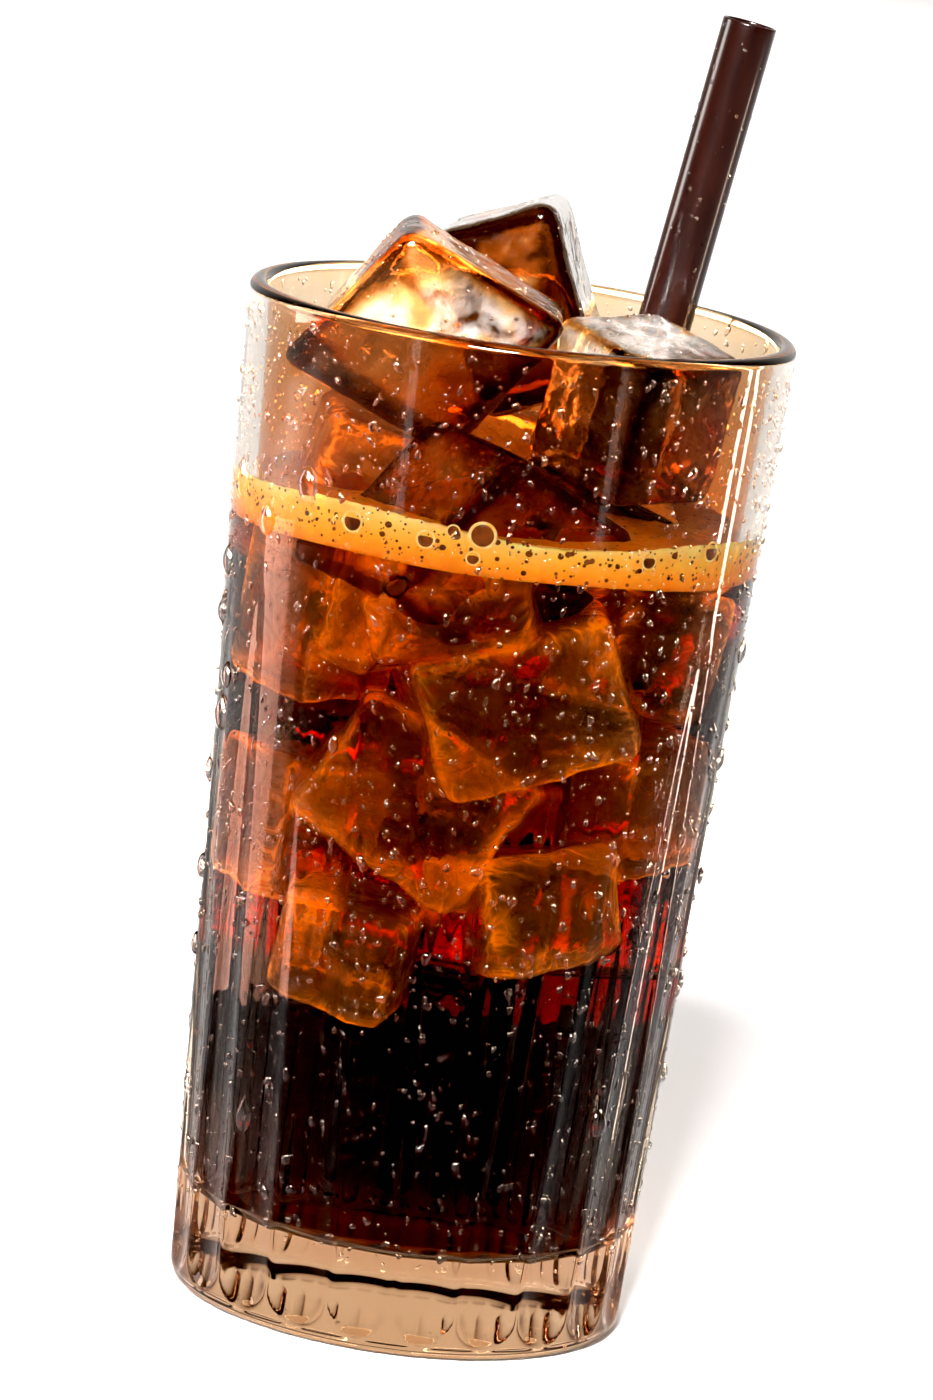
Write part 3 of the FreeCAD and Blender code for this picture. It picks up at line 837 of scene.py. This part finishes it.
def turned_shape(place, profile, columns):
    """Rings of points: a profile of (outwards, radius) turned about the outward axis."""
    centre, outward, side, up = place
    around = np.arange(columns) * 2 * math.pi / columns
    ring = np.cos(around)[:, None] * side + np.sin(around)[:, None] * up
    return np.array([centre + outward * deep + ring * radius for deep, radius in profile])


def build_bubbles():
    """Bubbles of the foam against the glass: dark caps, and pale rims round the large ones."""
    caps, rims = ([], []), ([], [])

    def join(target, points, faces):
        """Add a shape to a list of points and a list of faces."""
        first = sum(len(p) for p in target[0])
        target[0].append(points)
        target[1].extend(tuple(i + first for i in face) for face in faces)

    small = [(rng.uniform(-180, 180), FOAM_CLIMB * rng.uniform(0.05, 0.98) ** 0.8,
              0.16 + 0.42 * rng.random() ** 3) for _ in range(SMALL_BUBBLES)]
    for turn, height, radius in FOAM_BUBBLES + small:
        place = bubble_frame(turn, height)
        r = radius * MM
        profile = [(0.06 * MM * math.cos(a) - 0.02 * MM, r * math.sin(a))
                   for a in np.linspace(0.25, math.pi - 0.25, 6)]
        points, faces = closed_rings(turned_shape(place, profile, 10 if radius < 0.6 else 28))
        join(caps, points, [face[::-1] for face in faces])
        if radius > 0.8:
            tube = 0.13 * r
            profile = [(0.07 * MM + 0.5 * tube * math.cos(a), r + tube * math.sin(a))
                       for a in np.arange(8) * 2 * math.pi / 8]
            rings = turned_shape(place, profile + profile[:1], 28)
            points = rings.reshape(-1, 3)
            join(rims, points, [face[::-1] for face in ring_faces(9, 28)])
    for name, (points, faces), material in (("foam_bubbles", caps, BUBBLE),
                                            ("foam_bubble_rims", rims, BUBBLE_RIM)):
        piece = add_object(name, np.concatenate(points), faces)
        dress(piece, material)
        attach(piece, "root")


# ---------------------------------------------------------------- straw
def straw_axis():
    """The straw's two ends and its radius, read from the CAD node."""
    points = node_points("straw")
    middle = points.mean(0)
    upper, lower = points[points[:, 2] > middle[2]], points[points[:, 2] < middle[2]]
    low, high = lower.mean(0), upper.mean(0)
    along = (high - low) / np.linalg.norm(high - low)
    off = points - low
    radii = np.linalg.norm(off - (off @ along)[:, None] * along, axis=1)
    return low, high, along, float(radii.max()), float(radii.min())


def build_straw():
    """A tube with rounded lips, open at both ends."""
    low, high, along, outer, bore = straw_axis()
    side = np.cross(along, [0, 1, 0])
    side /= np.linalg.norm(side)
    other = np.cross(along, side)
    columns = 64
    lip = (outer - bore) / 2
    length = np.linalg.norm(high - low)
    middle = (outer + bore) / 2
    profile = []
    for t in np.linspace(lip, length - lip, 90):
        profile.append((outer, t))
    for a in np.radians(np.linspace(15, 165, 6)):
        profile.append((middle + lip * math.cos(a), length - lip + lip * math.sin(a)))
    for t in np.linspace(length - lip, lip, 12):
        profile.append((bore, t))
    for a in np.radians(np.linspace(195, 345, 6)):
        profile.append((middle + lip * math.cos(a), lip + lip * math.sin(a)))
    angle = np.arange(columns) * 2 * math.pi / columns
    ring = np.cos(angle)[:, None] * side + np.sin(angle)[:, None] * other
    points = np.concatenate([low + along * t + ring * r for r, t in profile])
    faces = ring_faces(len(profile), columns)
    last = (len(profile) - 1) * columns
    for j in range(columns):
        k = (j + 1) % columns
        faces.append((last + j, last + k, k, j))
    straw = add_object("drinking_straw", points, faces)
    dress(straw, STRAW)
    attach(straw, "root")
    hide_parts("straw")
    return straw


# ---------------------------------------------------------------- water drops
def dome_template(rings, columns):
    """Points of a unit dome (base in the XY plane, bulge along Z) and its faces."""
    points = []
    for i in range(rings):
        polar = math.pi / 2 * (1 - i / rings)
        for j in range(columns):
            around = 2 * math.pi * j / columns
            points.append((math.sin(polar) * math.cos(around), math.sin(polar) * math.sin(around),
                           math.cos(polar)))
    points.append((0, 0, 1))
    faces = ring_faces(rings, columns)
    last = (rings - 1) * columns
    faces += [(last + j, last + (j + 1) % columns, len(points) - 1) for j in range(columns)]
    return np.array(points), faces


DROP_SINK = 0.03 * MM  # how far a drop's edge is sunk, so that it meets what it lies on
BEAD_HEIGHT = 0.75  # heights of drops as a share of their half width
LARGE_HEIGHT = 0.62
PIECE_BEAD_HEIGHT = 0.7
BACKDROP = bpy.data.collections.new("backdrop")  # what the light on the background shines on
BEADED = bpy.data.collections.new("beads")  # what the light that makes beads sparkle shines on


def add_drops(name, origins, normals, ups, widths, lengths, heights, rings=3, columns=8, tail=0.0,
              wobble=0.0):
    """Domes of water on a surface, one mesh for all. ups points along each drop's length.

    tail narrows their upper ends, and wobble makes their outlines uneven.
    """
    template, template_faces = dome_template(rings, columns)
    sides = np.cross(ups, normals)
    sides /= np.linalg.norm(sides, axis=1, keepdims=True)
    ups = np.cross(normals, sides)
    local = np.repeat(template[None], len(origins), axis=0)
    narrow = 1 - tail * np.clip(local[..., 1], 0, 1) ** 1.2
    around = np.arctan2(local[..., 1], local[..., 0])
    phase = rng.uniform(0, 2 * math.pi, (2, len(origins), 1))
    uneven = 1 + wobble * (np.sin(2 * around + phase[0]) + np.sin(3 * around + phase[1]))
    x = local[..., 0] * widths[:, None] * narrow * uneven
    y = local[..., 1] * lengths[:, None] * uneven
    z = local[..., 2] * heights[:, None] * np.sqrt(narrow) - DROP_SINK
    points = (origins[:, None] + x[..., None] * sides[:, None] + y[..., None] * ups[:, None]
              + z[..., None] * normals[:, None])
    count = len(template)
    faces = [tuple(i + n * count for i in f) for n in range(len(origins)) for f in template_faces]
    drops = add_object(name, points.reshape(-1, 3), faces)
    dress(drops, WATER)
    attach(drops, "root")
    BEADED.objects.link(drops)


def wall_frame(angle, z):
    """Points, outward normals and up directions on the glass's fluted outside."""
    step = 0.004
    rise = 0.2 * MM

    def at(a, h):
        """Points of the outside at angles a and heights h."""
        r = outer_radius(a, h)
        return np.stack([r * np.cos(a), r * np.sin(a), h], 1)

    here = at(angle, z)
    across = at(angle + step, z) - at(angle - step, z)
    up = at(angle, z + rise) - at(angle, z - rise)
    normals = np.cross(across, up)
    normals /= np.linalg.norm(normals, axis=1, keepdims=True)
    up /= np.linalg.norm(up, axis=1, keepdims=True)
    return here, normals, up


# Kinds of bead on the glass: count, radius in mm, length for width, and the mesh's fineness.
BEADS = {
    "mist": (3800, (0.12, 0.24), (0.9, 1.6), (2, 6)),
    "beads": (2600, (0.24, 0.44), (0.9, 2.2), (3, 8)),
    "drops": (420, (0.42, 0.75), (0.9, 1.6), (4, 12)),
}
# Large drops on the glass: angle from the front in degrees (positive to the right), height,
# half width, half length in mm, and how far the upper end is drawn out.
LARGE_DROPS = [
    (-44, 124, 2.0, 2.6, 0.35), (-72, 121, 1.8, 3.0, 0.5), (-57, 117, 1.7, 2.4, 0.5),
    (-80, 108, 1.5, 2.3, 0.3), (-72, 92, 1.5, 2.0, 0.2), (-75, 86, 1.7, 2.8, 0.5),
    (-83, 100, 1.4, 1.9, 0.2), (-86, 76, 1.3, 1.8, 0.2), (-82, 62, 1.5, 2.0, 0.3),
    (-84, 50, 1.3, 1.8, 0.2), (-87, 38, 1.4, 1.9, 0.2), (-46, 30.5, 1.3, 2.8, 0.7),
    (48, 36, 1.6, 2.2, 0.3), (84, 104, 1.2, 1.8, 0.2), (80, 88, 1.3, 1.7, 0.2),
    (86, 70, 1.2, 1.7, 0.2), (62, 78, 1.0, 1.8, 0.5), (85, 54, 1.2, 1.6, 0.2),
    (83, 40, 1.3, 1.7, 0.2), (-30, 88, 0.8, 1.4, 0.4), (150, 96, 1.6, 2.3, 0.4),
    (-160, 112, 1.8, 2.6, 0.5), (170, 60, 1.5, 2.2, 0.4), (120, 118, 1.6, 2.3, 0.3),
    (-125, 70, 1.5, 2.1, 0.4), (-140, 44, 1.4, 2.0, 0.3), (110, 52, 1.4, 1.9, 0.3),
]
BEADS_FROM = 13 * MM


def build_condensation():
    """Water on the outside: mist, beads and drops all over, and large drops that run down."""
    for name, (count, radii, stretches, (rings, columns)) in BEADS.items():
        angle = rng.uniform(0, 2 * math.pi, count)
        z = rng.uniform(BEADS_FROM, RIM_Z - 2.5 * MM, count)
        size = rng.uniform(*radii, count) * MM
        stretch = rng.uniform(*stretches, count)
        origins, normals, ups = wall_frame(angle, z)
        tilt = rng.normal(0, 0.5, count)[:, None]
        ups = ups + tilt * np.cross(normals, ups)
        add_drops(f"condensation_{name}", origins, normals, ups, size, size * stretch,
                  size * BEAD_HEIGHT, rings=rings, columns=columns, wobble=0.14)
    large = np.array(LARGE_DROPS)
    angle = np.radians(large[:, 0] - 90)
    origins, normals, ups = wall_frame(angle, large[:, 1] * MM)
    for place, (_, _, width, length, tail) in enumerate(large):
        one = slice(place, place + 1)
        add_drops(f"large_drop_{place:02d}", origins[one], normals[one], ups[one],
                  np.array([width]) * MM, np.array([length]) * MM, np.array([width]) * LARGE_HEIGHT * MM,
                  rings=9, columns=28, tail=tail, wobble=0.03)


# Beads on the ice and the straw: count, radius in mm.
PIECE_BEADS = {"ice": (340, (0.12, 0.42)), "straw": (240, (0.12, 0.38))}
BEADS_OVER_FOAM = 7.5 * MM


def bead_piece(piece, kind):
    """Beads of water on a piece of the drink, where it is clear of the foam."""
    count, radii = PIECE_BEADS[kind]
    mesh = piece.data
    centres = np.array([p.center[:] for p in mesh.polygons])
    normals = np.array([p.normal[:] for p in mesh.polygons])
    areas = np.array([p.area for p in mesh.polygons])
    areas[centres[:, 2] < LEVEL_Z + BEADS_OVER_FOAM] = 0
    if kind == "straw":
        low, high, along, outer, bore = straw_axis()
        off = centres - low
        from_axis = np.linalg.norm(off - (off @ along)[:, None] * along, axis=1)
        areas[from_axis < (outer + bore) / 2] = 0
    chosen = rng.choice(len(areas), count, p=areas / areas.sum())
    corners = [[mesh.vertices[v].co[:] for v in mesh.polygons[i].vertices] for i in chosen]
    weights = rng.dirichlet(np.ones(4), count)
    origins = np.array([w[:len(c)] @ np.array(c) / w[:len(c)].sum() for w, c in zip(weights, corners)])
    size = (radii[0] + (radii[1] - radii[0]) * rng.random(count) ** 2.5) * MM
    normals = normals[chosen]
    ups = np.cross(normals, rng.normal(0, 1, (count, 3)))
    ups /= np.linalg.norm(ups, axis=1, keepdims=True)
    add_drops(f"{piece.name}_beads", origins, normals, ups, size, size, size * PIECE_BEAD_HEIGHT,
              wobble=0.1)


FLOOR_DROP = -0.15 * MM  # the table's top, a hair under the glass so that their faces don't fight


def build_floor():
    """A wide flat table, whose back edge is out of sight."""
    points = [(-4, -4, FLOOR_DROP), (4, -4, FLOOR_DROP), (4, 6, FLOOR_DROP), (-4, 6, FLOOR_DROP)]
    floor = add_object("floor", points, [(0, 1, 2, 3)])
    dress(floor, floor_material())
    BACKDROP.objects.link(floor)


# ---------------------------------------------------------------- light and camera
def add_light(name, place, target, size, power, colour=(1, 1, 1), spread=180.0):
    """A rectangular soft light that shines from place towards target within spread degrees."""
    light = bpy.data.lights.new(name, "AREA")
    light.shape = "RECTANGLE"
    light.size, light.size_y = size
    light.energy = power
    light.color = colour
    light.spread = math.radians(spread)
    obj = bpy.data.objects.new(name, light)
    scene.collection.objects.link(obj)
    obj.location = place
    obj.rotation_euler = (Vector(target) - Vector(place)).to_track_quat("-Z", "Y").to_euler()
    obj.visible_camera = False
    return obj


# How bright the room is behind, beside and in front of the glass, and its colours.
ROOM_BACK = (0.80, 0.77, 0.73)
ROOM_SIDE = (0.16, 0.095, 0.055)
ROOM_FRONT = (0.05, 0.040, 0.035)


def build_room():
    """A room that is bright behind the glass and dim and warm beside it and in front."""
    world = bpy.data.worlds.new("studio")
    scene.world = world
    world.use_nodes = True
    tree = world.node_tree
    direction = tree.nodes.new("ShaderNodeTexCoord")
    split = tree.nodes.new("ShaderNodeSeparateXYZ")
    tree.links.new(direction.outputs["Generated"], split.inputs[0])
    spread = tree.nodes.new("ShaderNodeMapRange")
    spread.inputs["From Min"].default_value = -1.0
    tree.links.new(split.outputs["Y"], spread.inputs["Value"])
    ramp = tree.nodes.new("ShaderNodeValToRGB")
    stops = [(0.0, ROOM_FRONT), (0.40, ROOM_FRONT), (0.80, ROOM_SIDE), (0.955, ROOM_BACK)]
    while len(ramp.color_ramp.elements) < len(stops):
        ramp.color_ramp.elements.new(0.5)
    for element, (place, colour) in zip(ramp.color_ramp.elements, stops):
        element.position = place
        element.color = (*colour, 1)
    tree.links.new(spread.outputs[0], ramp.inputs[0])
    tree.links.new(ramp.outputs[0], tree.nodes["Background"].inputs["Color"])


def build_lights():
    """Strips beside the glass, softboxes round it and lights that shine on one thing only."""
    add_light("left_strip", (-0.125, 0.005, 0.056), (0, 0, 0.056), (0.040, 0.080), 0.085, (1, 0.56, 0.43))
    add_light("right_strip", (0.118, 0.030, 0.082), (0, 0, 0.082), (0.005, 0.164), 0.045, (1, 0.85, 0.70))
    add_light("left_rib_strip", (-0.100, -0.120, 0.06), (0, 0, 0.06), (0.010, 0.12), 0.012)
    add_light("right_rib_strip", (0.100, -0.110, 0.06), (0, 0, 0.06), (0.008, 0.12), 0.008)
    add_light("left_softbox", (-0.60, 0.14, 0.22), (0, 0, 0.10), (0.20, 0.40), 1.8, (1, 0.97, 0.93))
    add_light("front_softbox", (-0.15, -0.75, 0.62), (0, 0, 0.08), (0.30, 0.30), 1.8, spread=24)
    behind = add_light("back_softbox", (-0.10, 1.90, 1.20), (0, 1.0, 0.0), (2.4, 0.8), 40.0)
    behind.light_linking.receiver_collection = BACKDROP
    add_light("table_glow", (0, 0.36, 0.002), (0, 0.36, 1), (0.24, 0.26), 1.9, (1, 0.88, 0.70))
    for name, place in (("left_sparkle", (-0.60, -0.45, 0.55)), ("right_sparkle", (0.55, 0.10, 0.50))):
        sparkle = add_light(name, place, (0, 0, 0.08), (0.45, 0.45), 36.0, (1, 0.76, 0.54))
        sparkle.light_linking.receiver_collection = BEADED


CAMERA_PLACE = (-0.81 * MM, -995.34 * MM, 283.33 * MM)
CAMERA_PITCH = 10.956  # degrees below level
CAMERA_ROLL = 7.6
CAMERA_LENS = 178.0
SENSOR_WIDTH = 36.0


def build_camera():
    """A long lens a metre off, looking down a little and rolled so that the glass leans."""
    camera = bpy.data.cameras.new("camera")
    camera.lens = CAMERA_LENS
    camera.sensor_width = SENSOR_WIDTH
    obj = bpy.data.objects.new("camera", camera)
    scene.collection.objects.link(obj)
    look = Matrix.Rotation(math.radians(90 - CAMERA_PITCH), 4, "X")
    roll = Matrix.Rotation(math.radians(CAMERA_ROLL), 4, "Z")
    obj.matrix_world = Matrix.Translation(CAMERA_PLACE) @ look @ roll
    scene.camera = obj


def set_light_paths():
    """Enough bounces for light to cross the glass, the coffee and several blocks of ice."""
    cycles = scene.cycles
    cycles.max_bounces = 18
    cycles.transmission_bounces = 18
    cycles.glossy_bounces = 6
    cycles.diffuse_bounces = 3
    cycles.transparent_max_bounces = 8
    scene.view_settings.view_transform = "Standard"
    scene.view_settings.look = "Medium High Contrast"
    scene.view_settings.use_curve_mapping = True
    scene.view_settings.curve_mapping.black_level = (0.012, 0.011, 0.010)


# ---------------------------------------------------------------- the whole drink
build_camera()
set_light_paths()
build_room()
build_lights()
build_floor()
build_glass()
ice = build_ice()
cutters = ice_cutters(ice)
build_coffee(cutters)
build_foam(cutters)
for cutter in cutters:
    bpy.data.objects.remove(cutter)
build_bubbles()
straw = build_straw()
build_condensation()
for block in ice[:len(ICE_NODES)]:
    bead_piece(block, "ice")
bead_piece(straw, "straw")
